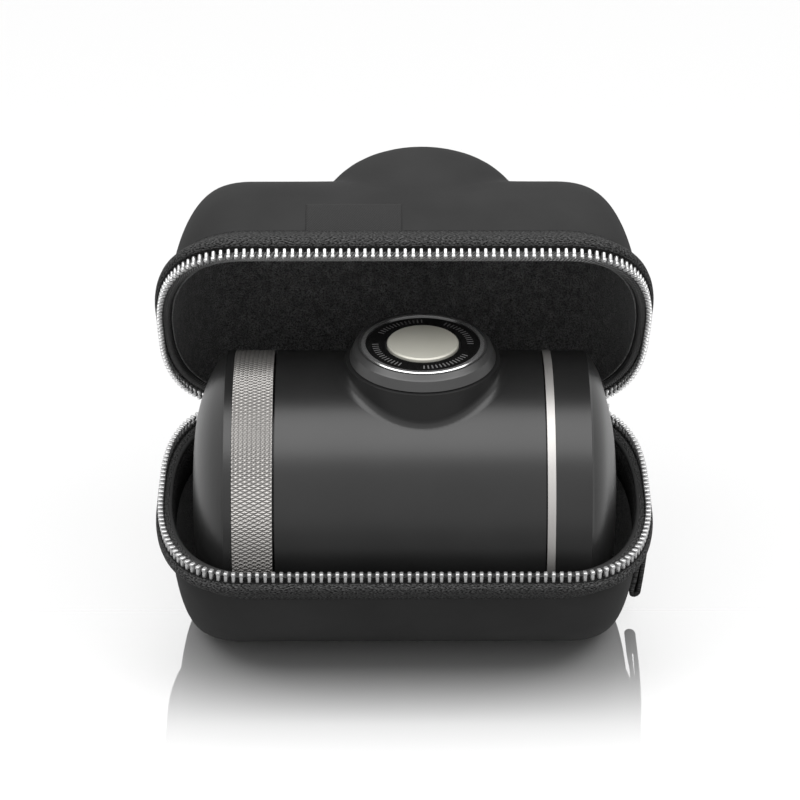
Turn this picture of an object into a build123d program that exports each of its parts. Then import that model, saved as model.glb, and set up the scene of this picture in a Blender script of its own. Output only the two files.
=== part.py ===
from build123d import *
import os
from math import cos, radians, sin

# A hand-pumped espresso maker lying in its open zip case. Millimetres. The maker's long axis
# runs along X: the brewing end is at -X, the water tank at +X, and the pump stands up along Z.
# The origin is on the floor, under the middle of the maker.

# ---- clearances -------------------------------------------------------------------------
RUN = 0.05             # a piston or a spigot in its bore
TURN = 0.1             # screwed or plugged pieces, and flat faces that slide past each other
SEAM = 0.3             # the line that shows between two pieces which move apart
SOFT_GAP = 0.2         # between the maker and the padding under it
GLUE = 0.05            # between a shell and the lining stuck inside it

# ---- maker: outer shape -----------------------------------------------------------------
BODY_R = 35.5
HALF_LENGTH = 53.0     # middle to either end
CAP_LENGTH = 10.4      # protective cap
RING_WIDTH = 10.0      # knurled ring
RING_GAP = 0.6         # neck that shows between the ring and the painted body
TANK_LID_LENGTH = 16.1
BAND_WIDTH = 2.0       # bright ring between the body and the tank lid
BAND_GAP = 0.4         # open seam between the body and this ring
BAND_PROUD = 0.05
RING_STEP = 0.2        # knurled ring, below the body's surface
TANK_LID_STEP = 0.1
BODY_WALL = 2.2
END_WALL = 1.8         # domed ends
END_CHAMFER = 0.5
# dome outlines as (distance from the end, depth below the body's surface)
CAP_DOME = [(0.5, 18.1), (2.0, 11.5), (3.5, 7.5), (6.0, 3.0)]
CAP_DOME_EDGE = (8.0, 0.5)
TANK_DOME = [(0.6, 17.8), (2.3, 10.7), (4.0, 5.3)]
TANK_DOME_EDGE = (6.8, 0.8)
FLAT_END_R = 10.0      # flat middle of each dome

# ---- maker: brewing end -----------------------------------------------------------------
NECK_LENGTH = 3.0      # neck that carries the knurled ring
RING_WALL = 3.6        # knurled ring, round the neck
BREW_LAND = 5.1        # neck's end face, outside the recess in front of the brewing head
BREW_RECESS = 2.0
HEAD_THICKNESS = 3.5
GASKET_LIPS = (0.4, 1.2)   # neck's walls inside and outside the gasket's groove
GASKET_THICKNESS = 1.5
GASKET_PROUD = 0.9
SCREEN_THICKNESS = 0.8
SCREEN_STANDOFF = 0.8
SCREEN_SCREW_R = 3.0
BASKET_FLANGE = 0.9
BASKET_FLANGE_INSET = 0.2  # flange's edge inside the gasket's
BASKET_INSET = 0.5     # basket inside the brewing recess
BASKET_TAPER = 1.2
BASKET_WALL = 0.6
BASKET_DEPTH = 10.5
SIEVE_HOLE_R = 0.6
SIEVE_INSETS = (20.5, 15.0, 9.5, 4.5)  # rings of holes, inwards from the basket's wall
SIEVE_COUNTS = (6, 12, 18, 24)
CAP_BORE = 3.7         # depth of the knurled ring's bore that takes the cap's spigot
CAP_SPIGOT_STEP = 2.9  # spigot inside the knurled ring's surface
CAP_SPIGOT_WALL = 2.0
CAP_SEAL = 0.9

# ---- maker: pump and knob ---------------------------------------------------------------
PUMP_X = 4.5
BOSS_R = 19.2
BOSS_RISE = 3.0        # above the body's surface
BOSS_FILLET = 2.6
PUMP_BORE_R = 9.0
PUMP_WALL = 1.5
PUMP_STANDOFF = 8.5    # cylinder's floor above the body's underside
FLANGE_REACH = 3.5     # beyond the cylinder's wall
FLANGE_THICKNESS = 1.9
GLAND_THICKNESS = 1.0
DUCT_R = 3.0
DUCT_BORE_R = 1.5
DUCT_RISE = 8.0        # above the cylinder's floor
FLANGE_SCREWS = 3
FLANGE_SCREW_INSET = 1.8
FLANGE_SCREW_R = 0.8
FLANGE_SCREW_HEAD = (1.45, 0.9)
PISTON_REST = 13.0     # piston's face above the cylinder's floor
PISTON_LENGTH = 8.0
SEAL_LENGTH = 2.8
SEAL_DEPTH = 1.1
ROD_R = 7.0
ROD_WALL = 1.8
ROD_PLUG = 8.6         # solid upper end of the rod
SPRING_WIRE_R = 0.6
SPRING_INSET = 1.8     # coil's middle inside the cylinder's bore
SPRING_TURNS = 5
VALVE_HEAD = (2.6, 0.6)
KNOB_HEIGHT = 3.7
KNOB_EDGE_DROP = 1.0   # rounded edge below the knob's top
KNOB_SKIRT_STEP = 1.0  # skirt inside the boss
KNOB_SLOPE = 0.9
KNOB_RECESS = 0.7      # seat of the knob's trim below its top
KNOB_WEB = 1.2
KNOB_GROOVE = (1.2, 0.25)  # inwards from the edge, and its width and depth
SPIGOT_STEP = 3.0      # spigot inside the rod's surface
KNOB_SCREW_HEAD = (6.0, 1.2)
KNOB_SCREW_R = 1.4
KNOB_SCREW_DEPTH = 3.6
BEZEL_INSET = 1.9
BEZEL_WIDTH = 1.15
BEZEL_HEIGHT = 0.85
INLAY_GAP = 0.5        # between the inlay and the disc in its middle
INLAY_HEIGHT = 0.5
DISC_R = 8.9
DISC_HEIGHT = 1.15
DISC_CHAMFER = 0.35

# ---- maker: tank end --------------------------------------------------------------------
LID_SEAT = 10.75       # seat of the tank's gasket, inwards from the end
TANK_LID_WALL = 2.4
TANK_NECK_WALL = 1.5
TANK_GASKET = 1.15
TANK_GASKET_WALL = 1.9
VENT_STEM_R = 2.5
VENT_HEAD = (4.5, 0.9)

# ---- case -------------------------------------------------------------------------------
RIM = 0.9              # the closing plane, above the maker's axis
END_ROOM = 9.0         # tooth line beyond the maker's ends
SIDE_ROOM = 7.5        # tooth line beyond the maker's sides
CORNER_X = 22.5        # extent of the rounded corners along the case
CORNER_FLAT = 5.0      # half length of the straight part at each end
CORNER_FULL = 0.652    # handle length of the corner curves: 0.552 is an ellipse, 1 is square
CORNER_TIGHTEN = 0.8   # share of its length that a corner loses towards the lowest line
BAND_X = 2.4           # how far the tooth line stands out from the shell
BAND_Y = 2.9
SHELL = 0.9
LINING = 0.45
BASE_SPINE_IN = 2.5    # straight lowest line, short of the maker's ends
BASE_POWER = 2.0       # 2 is an elliptic section, more is squarer
FOOT = 0.3             # the flat foot stands below the rounded base
FOOT_HALF = 8.5
LID_ROOM = 2.6         # lid's crest above the closing plane, beyond the maker's radius
LID_SPINE_IN = 9.5
LID_POWER = 1.9
CREST_HALF = 4.0       # half width of the flat at the crest of a lid or a lining
SECTION_ANGLES = (0, 14, 28, 42, 55, 67)  # loft sections round the case, from the rim
RIM_GAP = 0.05
BULGE_SIDE_ROOM = 8.8  # dome in the lid, beyond the knob's skirt
BULGE_TOP_ROOM = 4.5   # and above the knob
BULGE_DROP = 11.5      # its straight foot, below the body's surface
BULGE_FULL = 0.784
TAPE_DEPTH = 3.5
TAPE_OUT = 0.6         # woven tape outside the tooth line
TOOTH_HALF = 0.9       # half the strip's thickness
TOOTH_HEIGHT = 1.5     # each half of the closed chain
CHAIN_SHORT = 14.0     # the chain stops here on the back, short of the ends
HINGE_OUT = 0.65       # hinge line inside the tooth line at the back
HINGE_UP = 1.56        # hinge line above the closing plane
LEAF_SHORT = 12.0      # hinge leaves' ends, short of the chain's
LEAF_THICKNESS = 2.0
LEAF_DROP = 4.5
LID_OPEN = 55.2        # degrees
PATCH_X = (-24.5, -0.5)
PATCH_Z = (7.0, 19.0)  # above the maker's axis, with the lid closed
PATCH_THICKNESS = 0.4
LOOP_WIDTH = 10.0
LOOP_LENGTH = 25.0
LOOP_THICKNESS = 2.3
LOOP_STRAP = 0.9
SLIDER = (7.0, 1.2, 4.4)   # along the chain, outwards, upwards
SLIDER_AT = 0.78           # place along the corner curve
SLIDER_DROP = 1.2          # its middle below the closing plane, clear of the opened lid
ARCH = (2.6, 1.8, 3.6)     # the slider's bail: width, reach, height
ARCH_WALL = 0.7
PULL = (4.6, 0.6, 14.0)    # width, thickness, length
PULL_EYE = (3.0, 2.6)
PULL_BAR = 0.8             # the pull's bar inside the bail

# ---- places worked out from the sizes above ---------------------------------------------
# maker, along X
CAP_EDGE = CAP_LENGTH - HALF_LENGTH
RING_EDGE = CAP_EDGE + RING_WIDTH
BODY_LEFT = RING_EDGE + RING_GAP
LID_EDGE = HALF_LENGTH - TANK_LID_LENGTH
BAND_EDGE = LID_EDGE - TURN - BAND_WIDTH
BODY_RIGHT = BAND_EDGE - BAND_GAP
NECK_END = BODY_LEFT - NECK_LENGTH
HEAD_FACE = NECK_END + BREW_RECESS
TANK_FLOOR = HEAD_FACE + HEAD_THICKNESS
SCREEN_X = HEAD_FACE - SCREEN_STANDOFF
GASKET_FACE = NECK_END - GASKET_PROUD
FLANGE_FACE = GASKET_FACE - TURN
FLANGE_BACK = FLANGE_FACE - BASKET_FLANGE
WEB_FACE = FLANGE_BACK - TURN
BASKET_END = FLANGE_BACK - BASKET_DEPTH
CAP_SPIGOT_END = CAP_EDGE + CAP_BORE - TURN
LID_SHOULDER = HALF_LENGTH - LID_SEAT
NECK_MOUTH = LID_SHOULDER - TANK_GASKET - 2 * RUN
# maker, radii about its axis
RING_R = BODY_R - RING_STEP
TANK_LID_R = BODY_R - TANK_LID_STEP
CAVITY_R = BODY_R - BODY_WALL
NECK_R = RING_R - RING_WALL - TURN
BREW_R = NECK_R - BREW_LAND
GASKET_R = (BREW_R + GASKET_LIPS[0], NECK_R - GASKET_LIPS[1])
BASKET_FLANGE_R = GASKET_R[1] - BASKET_FLANGE_INSET
BASKET_R = BREW_R - BASKET_INSET
CAP_SPIGOT_R = RING_R - CAP_SPIGOT_STEP
TANK_NECK_R = TANK_LID_R - TANK_LID_WALL - TURN
# pump, heights above the maker's axis and radii about its own
BOSS_TOP = BODY_R + BOSS_RISE
KNOB_BASE = BOSS_TOP + SEAM
KNOB_TOP = KNOB_BASE + KNOB_HEIGHT
KNOB_EDGE = KNOB_TOP - KNOB_EDGE_DROP
KNOB_FLOOR = KNOB_TOP - KNOB_RECESS
CYLINDER_TOP = BOSS_TOP - GLAND_THICKNESS - RUN
FLANGE_SEAT = CYLINDER_TOP - FLANGE_THICKNESS
PUMP_FLOOR = PUMP_STANDOFF - BODY_R
PISTON_FLOOR = PUMP_FLOOR + PISTON_REST
DUCT_Z = PUMP_FLOOR + DUCT_RISE
ROD_TOP = KNOB_BASE - 2 * TURN
ROD_BORE_TOP = ROD_TOP - ROD_PLUG
SPIGOT_TOP = KNOB_BASE + KNOB_WEB + TURN
PUMP_R = PUMP_BORE_R + PUMP_WALL
FLANGE_R = PUMP_R + FLANGE_REACH
FLANGE_SCREW_CIRCLE = FLANGE_R - FLANGE_SCREW_INSET
PISTON_R = PUMP_BORE_R - RUN
SPRING_R = PUMP_BORE_R - SPRING_INSET
ROD_BORE_R = ROD_R - ROD_WALL
SPIGOT_R = ROD_R - SPIGOT_STEP
KNOB_SKIRT_R = BOSS_R - KNOB_SKIRT_STEP
KNOB_R = KNOB_SKIRT_R - KNOB_SLOPE
GROOVE_R = KNOB_R - KNOB_GROOVE[0]
BEZEL_R = (KNOB_R - BEZEL_INSET - BEZEL_WIDTH, KNOB_R - BEZEL_INSET)
INLAY_R = (DISC_R + INLAY_GAP, BEZEL_R[0] - RUN)
# case
AXIS_Z = BODY_R + SOFT_GAP + LINING + GLUE + SHELL + FOOT
RIM_Z = AXIS_Z + RIM
CHAIN_X = HALF_LENGTH + END_ROOM
CHAIN_Y = BODY_R + SIDE_ROOM
CORNER_Y = CHAIN_Y - CORNER_FLAT
SHELL_X = CHAIN_X - BAND_X
SHELL_Y = CHAIN_Y - BAND_Y
BASE_DEPTH = RIM_Z - FOOT
BASE_SPINE = HALF_LENGTH - BASE_SPINE_IN
LID_HEIGHT = BODY_R + LID_ROOM
LID_SPINE = HALF_LENGTH - LID_SPINE_IN
BULGE_R = KNOB_SKIRT_R + BULGE_SIDE_ROOM
BULGE_BASE = BODY_R - BULGE_DROP
BULGE_HEIGHT = KNOB_TOP + BULGE_TOP_ROOM - BULGE_BASE
CHAIN_END_X = CHAIN_X - CHAIN_SHORT
LEAF_HALF = CHAIN_END_X - LEAF_SHORT
HINGE_Y = CHAIN_Y - HINGE_OUT
HINGE_Z = RIM_Z + HINGE_UP
HINGE = Axis((0, HINGE_Y, HINGE_Z), (1, 0, 0))
MIDDLE = Plane((0, 0, AXIS_Z), x_dir=(1, 0, 0), z_dir=(0, -1, 0))
MAKER_AXIS = Axis((0, 0, AXIS_Z), (1, 0, 0))
PUMP_PLANE = Plane((PUMP_X, 0, AXIS_Z), x_dir=(1, 0, 0), z_dir=(0, -1, 0))
PUMP_AXIS = Axis((PUMP_X, 0, AXIS_Z), (0, 0, 1))


def block(plane, u, v):
    """Rectangle on a plane from u[0] to u[1] and from v[0] to v[1]."""
    with BuildSketch(plane) as profile:
        with Locations(((u[0] + u[1]) / 2, (v[0] + v[1]) / 2)):
            Rectangle(u[1] - u[0], v[1] - v[0])
    return profile.sketch


def ring_x(x, r, mode=Mode.ADD):
    """Turned ring about the maker's axis, from x[0] to x[1] and from radius r[0] to r[1]."""
    revolve(block(MIDDLE, x, r), axis=MAKER_AXIS, mode=mode)


def ring_z(r, z, mode=Mode.ADD):
    """Turned ring about the pump's axis, from radius r[0] to r[1], z above the maker's axis."""
    revolve(block(PUMP_PLANE, r, z), axis=PUMP_AXIS, mode=mode)


def flange_holes(z, radius, depth):
    """Cuts a hole for each flange screw, downwards from z above the maker's axis."""
    with BuildSketch(Plane.XY.offset(AXIS_Z + z)) as profile:
        with Locations((PUMP_X, 0)):
            with PolarLocations(FLANGE_SCREW_CIRCLE, FLANGE_SCREWS):
                Circle(radius)
    extrude(profile.sketch, amount=-depth, mode=Mode.SUBTRACT)


def dome(side, points, edge, chamfer_r, straight_end):
    """Domed end cap as a solid of revolution; side is -1 at the brewing end, 1 at the tank end."""
    tip = side * HALF_LENGTH
    shoulder = tip - side * edge[0]
    rim_point = (shoulder - side * END_CHAMFER, chamfer_r)
    with BuildSketch(MIDDLE) as profile:
        with BuildLine():
            Line((straight_end, 0), (tip, 0))
            Line((tip, 0), (tip, FLAT_END_R))
            knots = [(tip - side * d, BODY_R - drop) for d, drop in points]
            Spline([(tip, FLAT_END_R), *knots, (shoulder, BODY_R - edge[1])])
            Line((shoulder, BODY_R - edge[1]), rim_point)
            Line(rim_point, (straight_end, chamfer_r))
            Line((straight_end, chamfer_r), (straight_end, 0))
        make_face()
    revolve(profile.sketch, axis=MAKER_AXIS)


def dome_hollow(side, points, open_end, open_r):
    """Cuts the space inside a domed end, END_WALL from its outside."""
    floor = side * (HALF_LENGTH - END_WALL)
    inner = [(floor - side * d, BODY_R - drop - END_WALL) for d, drop in points]
    inner = [(x, r) for x, r in inner if r < open_r]
    last = (inner[-1][0] - side * 2 * END_WALL, open_r)
    with BuildSketch(MIDDLE) as profile:
        with BuildLine():
            Polyline((floor, 0), (floor, FLAT_END_R), *inner, last, (open_end, open_r),
                     (open_end, 0), close=True)
        make_face()
    revolve(profile.sketch, axis=MAKER_AXIS, mode=Mode.SUBTRACT)


def plan(z, half_x, half_y, corner_x, corner_y):
    """The case's rounded outline as a face at height z."""
    fx, fy = CORNER_FULL * corner_x, CORNER_FULL * corner_y
    flat_x, flat_y = half_x - corner_x, half_y - corner_y
    with BuildSketch(Plane.XY.offset(z)) as outline:
        with BuildLine():
            for sx, sy in ((1, 1), (-1, 1), (-1, -1), (1, -1)):
                Bezier((sx * half_x, sy * flat_y), (sx * half_x, sy * (flat_y + fy)),
                       (sx * (flat_x + fx), sy * half_y), (sx * flat_x, sy * half_y))
            for s in (1, -1):
                Line((-flat_x, s * half_y), (flat_x, s * half_y))
                Line((s * half_x, -flat_y), (s * half_x, flat_y))
        make_face()
    return outline.sketch


def tub(inset, depth, spine, power, side, crest_half, drop, mode=Mode.ADD):
    """Rounded tub from the closing plane: side is -1 for the base and 1 for the lid."""
    half_x, half_y = SHELL_X - inset, SHELL_Y - inset
    start = RIM_Z + side * RIM_GAP
    crest = crest_half / half_y
    shares = [cos(radians(a)) ** (2 / power) for a in SECTION_ANGLES]
    levels = [(f, (depth - inset) * (1 - f**power) ** (1 / power)) for f in shares]
    levels.append((crest, depth - inset + drop))
    sections = []
    for f, down in levels:
        corner_x = CORNER_X * (1 - CORNER_TIGHTEN * (1 - f))
        length = spine + (half_x - spine) * f
        sections.append(plan(start + side * down, length, half_y * f, corner_x, CORNER_Y * f))
    loft(sections, mode=mode)


def bulge(inset, mode=Mode.ADD):
    """Dome in the lid that leaves room for the knob."""
    r, h = BULGE_R - inset, BULGE_HEIGHT - inset
    low, top = BULGE_BASE, BULGE_BASE + h
    with BuildSketch(PUMP_PLANE) as profile:
        with BuildLine():
            Line((0, low), (r, low))
            Bezier((r, low), (r, low + BULGE_FULL * h), (BULGE_FULL * r, top), (0, top))
            Line((0, top), (0, low))
        make_face()
    revolve(profile.sketch, axis=PUMP_AXIS, mode=mode)


def outline_ring(outer, inner, z):
    """Upright band along the tooth line, from outer to inner beside it, open at the back."""
    for beside, mode in ((outer, Mode.ADD), (inner, Mode.SUBTRACT)):
        band = plan(z[0], CHAIN_X + beside[0], CHAIN_Y + beside[1], CORNER_X, CORNER_Y)
        extrude(band, amount=z[1] - z[0], mode=mode)
    with Locations((0, CHAIN_Y, (z[0] + z[1]) / 2)):
        Box(2 * CHAIN_END_X, CHAIN_Y, 2 * (z[1] - z[0]), mode=Mode.SUBTRACT)


def opened(shape):
    """Turns a piece of the lid from closed to its open rest pose."""
    return shape.rotate(HINGE, -LID_OPEN)


def save(shape, name):
    shape.label = name
    export_step(shape, f"parts/{name}.step")


os.makedirs("parts", exist_ok=True)

# ---- maker: body ------------------------------------------------------------------------
with BuildPart() as main_body:
    ring_x((BODY_LEFT, BODY_RIGHT), (0, BODY_R))
    with BuildSketch(Plane.XY.offset(AXIS_Z)):
        with Locations((PUMP_X, 0)):
            Circle(BOSS_R)
    extrude(amount=BOSS_TOP)
    at_boss = main_body.edges().filter_by(GeomType.BSPLINE)
    fillet(at_boss, BOSS_FILLET)
    ring_x((NECK_END, BODY_LEFT), (0, NECK_R))
    ring_x((BODY_RIGHT, NECK_MOUTH), (0, TANK_NECK_R))
    ring_x((TANK_FLOOR, BODY_RIGHT - BODY_WALL), (0, CAVITY_R), Mode.SUBTRACT)
    ring_x((BODY_RIGHT - BODY_WALL, NECK_MOUTH), (0, TANK_NECK_R - TANK_NECK_WALL), Mode.SUBTRACT)
    ring_x((NECK_END, HEAD_FACE), (0, BREW_R), Mode.SUBTRACT)
    ring_x((NECK_END, GASKET_FACE + GASKET_THICKNESS), GASKET_R, Mode.SUBTRACT)
    ring_z((0, PUMP_R + RUN), (0, BOSS_TOP), Mode.SUBTRACT)
    ring_z((0, FLANGE_R + RUN), (FLANGE_SEAT, BOSS_TOP), Mode.SUBTRACT)
    flange_holes(FLANGE_SEAT, FLANGE_SCREW_R, FLANGE_THICKNESS)
    with BuildSketch(Plane.YZ.offset(HEAD_FACE)):
        with Locations((0, AXIS_Z + DUCT_Z)):
            Circle(DUCT_BORE_R)
        with Locations((0, AXIS_Z)):
            Circle(SCREEN_SCREW_R / 2)
    extrude(amount=HEAD_THICKNESS, mode=Mode.SUBTRACT)
save(main_body.part, "main_body")

with BuildPart() as tank_band:
    ring_x((BAND_EDGE, BAND_EDGE + BAND_WIDTH), (TANK_NECK_R + RUN, BODY_R + BAND_PROUD))
save(tank_band.part, "tank_band")

with BuildPart() as brew_gasket:
    ring_x((GASKET_FACE, GASKET_FACE + GASKET_THICKNESS), (GASKET_R[0] + RUN, GASKET_R[1] - RUN))
save(brew_gasket.part, "brew_gasket")

with BuildPart() as shower_screen:
    ring_x((SCREEN_X - SCREEN_THICKNESS, SCREEN_X), (0, BREW_R - TURN))
    with BuildSketch(Plane.YZ.offset(SCREEN_X)):
        with Locations((0, AXIS_Z)):
            Circle(SCREEN_SCREW_R / 2)
            for inset, count in zip(SIEVE_INSETS, SIEVE_COUNTS):
                with PolarLocations(BASKET_R - inset, count):
                    Circle(SIEVE_HOLE_R)
    extrude(amount=-SCREEN_THICKNESS, mode=Mode.SUBTRACT)
save(shower_screen.part, "shower_screen")

with BuildPart() as screen_screw:
    ring_x((SCREEN_X - 2 * SCREEN_THICKNESS, SCREEN_X - SCREEN_THICKNESS), (0, SCREEN_SCREW_R))
    ring_x((SCREEN_X, TANK_FLOOR - SCREEN_THICKNESS), (0, SCREEN_SCREW_R / 2 - RUN))
    ring_x((SCREEN_X - SCREEN_THICKNESS, SCREEN_X), (0, SCREEN_SCREW_R / 2 - RUN))
    ring_x((SCREEN_X, HEAD_FACE), (0, SCREEN_SCREW_R))
save(screen_screw.part, "screen_screw")

# ---- maker: pump ------------------------------------------------------------------------
with BuildPart() as pump_cylinder:
    ring_z((0, PUMP_R), (PUMP_FLOOR, CYLINDER_TOP))
    ring_z((0, FLANGE_R), (FLANGE_SEAT, CYLINDER_TOP))
    with BuildSketch(Plane.YZ.offset(TANK_FLOOR)):
        with Locations((0, AXIS_Z + DUCT_Z)):
            Circle(DUCT_R)
    extrude(amount=PUMP_X - TANK_FLOOR)
    ring_z((0, PUMP_BORE_R), (PUMP_FLOOR + PUMP_WALL, CYLINDER_TOP), Mode.SUBTRACT)
    ring_z((0, DUCT_BORE_R), (PUMP_FLOOR, PUMP_FLOOR + PUMP_WALL), Mode.SUBTRACT)
    with BuildSketch(Plane.YZ.offset(TANK_FLOOR)):
        with Locations((0, AXIS_Z + DUCT_Z)):
            Circle(DUCT_BORE_R)
    extrude(amount=PUMP_X - TANK_FLOOR, mode=Mode.SUBTRACT)
    flange_holes(CYLINDER_TOP, FLANGE_SCREW_R, FLANGE_THICKNESS)
    flange_holes(CYLINDER_TOP, FLANGE_SCREW_HEAD[0] + RUN, FLANGE_SCREW_HEAD[1] + RUN)
save(pump_cylinder.part, "pump_cylinder")

for number in range(FLANGE_SCREWS):
    turn = radians(360 / FLANGE_SCREWS * number)
    spot = (PUMP_X + FLANGE_SCREW_CIRCLE * cos(turn), FLANGE_SCREW_CIRCLE * sin(turn))
    head_seat = AXIS_Z + CYLINDER_TOP - FLANGE_SCREW_HEAD[1] - RUN
    with BuildPart() as flange_screw:
        with BuildSketch(Plane.XY.offset(head_seat)):
            with Locations(spot):
                Circle(FLANGE_SCREW_HEAD[0])
        extrude(amount=FLANGE_SCREW_HEAD[1])
        with BuildSketch(Plane.XY.offset(head_seat)):
            with Locations(spot):
                Circle(FLANGE_SCREW_R - RUN)
        extrude(amount=-FLANGE_THICKNESS)
    save(flange_screw.part, f"flange_screw_{number + 1}")

with BuildPart() as gland_ring:
    ring_z((ROD_R + RUN, FLANGE_R), (CYLINDER_TOP + RUN, BOSS_TOP))
save(gland_ring.part, "gland_ring")

with BuildPart() as inlet_valve:
    ring_z((0, VALVE_HEAD[0]), (PUMP_FLOOR - VALVE_HEAD[1], PUMP_FLOOR))
    ring_z((0, DUCT_BORE_R - RUN), (PUMP_FLOOR, PUMP_FLOOR + PUMP_WALL))
save(inlet_valve.part, "inlet_valve")

with BuildPart() as outlet_valve:
    with BuildSketch(Plane.YZ.offset(HEAD_FACE)):
        with Locations((0, AXIS_Z + DUCT_Z)):
            Circle(VALVE_HEAD[0])
    extrude(amount=-VALVE_HEAD[1])
    with BuildSketch(Plane.YZ.offset(HEAD_FACE)):
        with Locations((0, AXIS_Z + DUCT_Z)):
            Circle(DUCT_BORE_R - RUN)
    extrude(amount=HEAD_THICKNESS)
save(outlet_valve.part, "outlet_valve")

SPRING_LOW = AXIS_Z + PUMP_FLOOR + PUMP_WALL + SPRING_WIRE_R + TURN
SPRING_TOP = AXIS_Z + PISTON_FLOOR - SPRING_WIRE_R - TURN
SPRING_PITCH = (SPRING_TOP - SPRING_LOW) / SPRING_TURNS
with BuildPart() as return_spring:
    with BuildLine() as coil:
        Helix(SPRING_PITCH, SPRING_TOP - SPRING_LOW, SPRING_R, center=(PUMP_X, 0, SPRING_LOW))
    with BuildSketch(Plane(coil.line @ 0, z_dir=coil.line % 0)):
        Circle(SPRING_WIRE_R)
    sweep(path=coil.line, is_frenet=True)
save(return_spring.part, "return_spring")

SEAL_LOW = PISTON_FLOOR + (PISTON_LENGTH - SEAL_LENGTH) / 2
with BuildPart() as piston:
    ring_z((0, PISTON_R), (PISTON_FLOOR, PISTON_FLOOR + PISTON_LENGTH))
    ring_z((0, ROD_R), (PISTON_FLOOR, ROD_TOP))
    ring_z((0, SPIGOT_R), (ROD_TOP, SPIGOT_TOP))
    ring_z((PISTON_R - SEAL_DEPTH, PISTON_R), (SEAL_LOW, SEAL_LOW + SEAL_LENGTH), Mode.SUBTRACT)
    ring_z((0, ROD_BORE_R), (PISTON_FLOOR + PUMP_WALL, ROD_BORE_TOP), Mode.SUBTRACT)
    ring_z((0, KNOB_SCREW_R + RUN), (SPIGOT_TOP - KNOB_SCREW_DEPTH, SPIGOT_TOP), Mode.SUBTRACT)
save(piston.part, "piston")

with BuildPart() as piston_seal:
    ring_z((PISTON_R - SEAL_DEPTH + RUN, PISTON_R), (SEAL_LOW + RUN, SEAL_LOW + SEAL_LENGTH - RUN))
save(piston_seal.part, "piston_seal")

# ---- maker: knob ------------------------------------------------------------------------
with BuildPart() as knob_cap:
    with BuildSketch(PUMP_PLANE):
        with BuildLine():
            Polyline((0, KNOB_BASE), (KNOB_SKIRT_R, KNOB_BASE), (KNOB_R, KNOB_EDGE - SEAM),
                     (KNOB_R - SEAM, KNOB_EDGE), (GROOVE_R, KNOB_TOP), (0, KNOB_TOP), close=True)
        make_face()
    revolve(axis=PUMP_AXIS)
    ring_z((0, BEZEL_R[1] + RUN), (KNOB_FLOOR, KNOB_TOP), Mode.SUBTRACT)
    groove_low = KNOB_TOP - KNOB_GROOVE[1]
    ring_z((GROOVE_R - KNOB_GROOVE[1], GROOVE_R), (groove_low, KNOB_TOP), Mode.SUBTRACT)
    ring_z((0, KNOB_SCREW_HEAD[0] + TURN), (KNOB_BASE + KNOB_WEB, KNOB_FLOOR), Mode.SUBTRACT)
    ring_z((0, SPIGOT_R + RUN), (KNOB_BASE, KNOB_BASE + KNOB_WEB), Mode.SUBTRACT)
save(knob_cap.part, "knob_cap")

with BuildPart() as knob_bezel:
    ring_z(BEZEL_R, (KNOB_FLOOR, KNOB_FLOOR + BEZEL_HEIGHT))
    chamfer(knob_bezel.edges().group_by(Axis.Z)[-1].sort_by(SortBy.LENGTH)[-1], SEAM)
save(knob_bezel.part, "knob_bezel")

with BuildPart() as knob_inlay:
    ring_z(INLAY_R, (KNOB_FLOOR, KNOB_FLOOR + INLAY_HEIGHT))
save(knob_inlay.part, "knob_inlay")

with BuildPart() as knob_disc:
    ring_z((0, DISC_R), (KNOB_FLOOR, KNOB_FLOOR + DISC_HEIGHT))
    chamfer(knob_disc.edges().group_by(Axis.Z)[-1], DISC_CHAMFER)
save(knob_disc.part, "knob_disc")

with BuildPart() as knob_screw:
    ring_z((0, KNOB_SCREW_HEAD[0]), (SPIGOT_TOP, SPIGOT_TOP + KNOB_SCREW_HEAD[1]))
    ring_z((0, KNOB_SCREW_R), (SPIGOT_TOP - KNOB_SCREW_DEPTH + TURN, SPIGOT_TOP))
save(knob_screw.part, "knob_screw")

# ---- maker: filter holder and its cap ---------------------------------------------------
with BuildPart() as filter_basket:
    ring_x((FLANGE_BACK, FLANGE_FACE), (0, BASKET_FLANGE_R))
    with BuildSketch(MIDDLE):
        with BuildLine():
            Polyline((FLANGE_BACK, 0), (FLANGE_BACK, BASKET_R),
                     (BASKET_END, BASKET_R - BASKET_TAPER), (BASKET_END, 0), close=True)
        make_face()
    revolve(axis=MAKER_AXIS)
    with BuildSketch(MIDDLE):
        with BuildLine():
            Polyline((FLANGE_FACE, 0), (FLANGE_FACE, BASKET_R - BASKET_WALL),
                     (BASKET_END + BASKET_WALL, BASKET_R - BASKET_TAPER - BASKET_WALL),
                     (BASKET_END + BASKET_WALL, 0), close=True)
        make_face()
    revolve(axis=MAKER_AXIS, mode=Mode.SUBTRACT)
    with BuildSketch(Plane.YZ.offset(BASKET_END)):
        with Locations((0, AXIS_Z)):
            for inset, count in zip(SIEVE_INSETS, SIEVE_COUNTS):
                with PolarLocations(BASKET_R - inset, count):
                    Circle(SIEVE_HOLE_R)
    extrude(amount=BASKET_WALL, mode=Mode.SUBTRACT)
save(filter_basket.part, "filter_basket")

with BuildPart() as portafilter_ring:
    ring_x((CAP_EDGE + TURN, RING_EDGE), (BASKET_R + SEAM, RING_R))
    ring_x((CAP_EDGE + TURN, CAP_EDGE + CAP_BORE), (0, CAP_SPIGOT_R + RUN), Mode.SUBTRACT)
    ring_x((WEB_FACE, RING_EDGE), (0, NECK_R + TURN), Mode.SUBTRACT)
save(portafilter_ring.part, "portafilter_ring")

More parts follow.
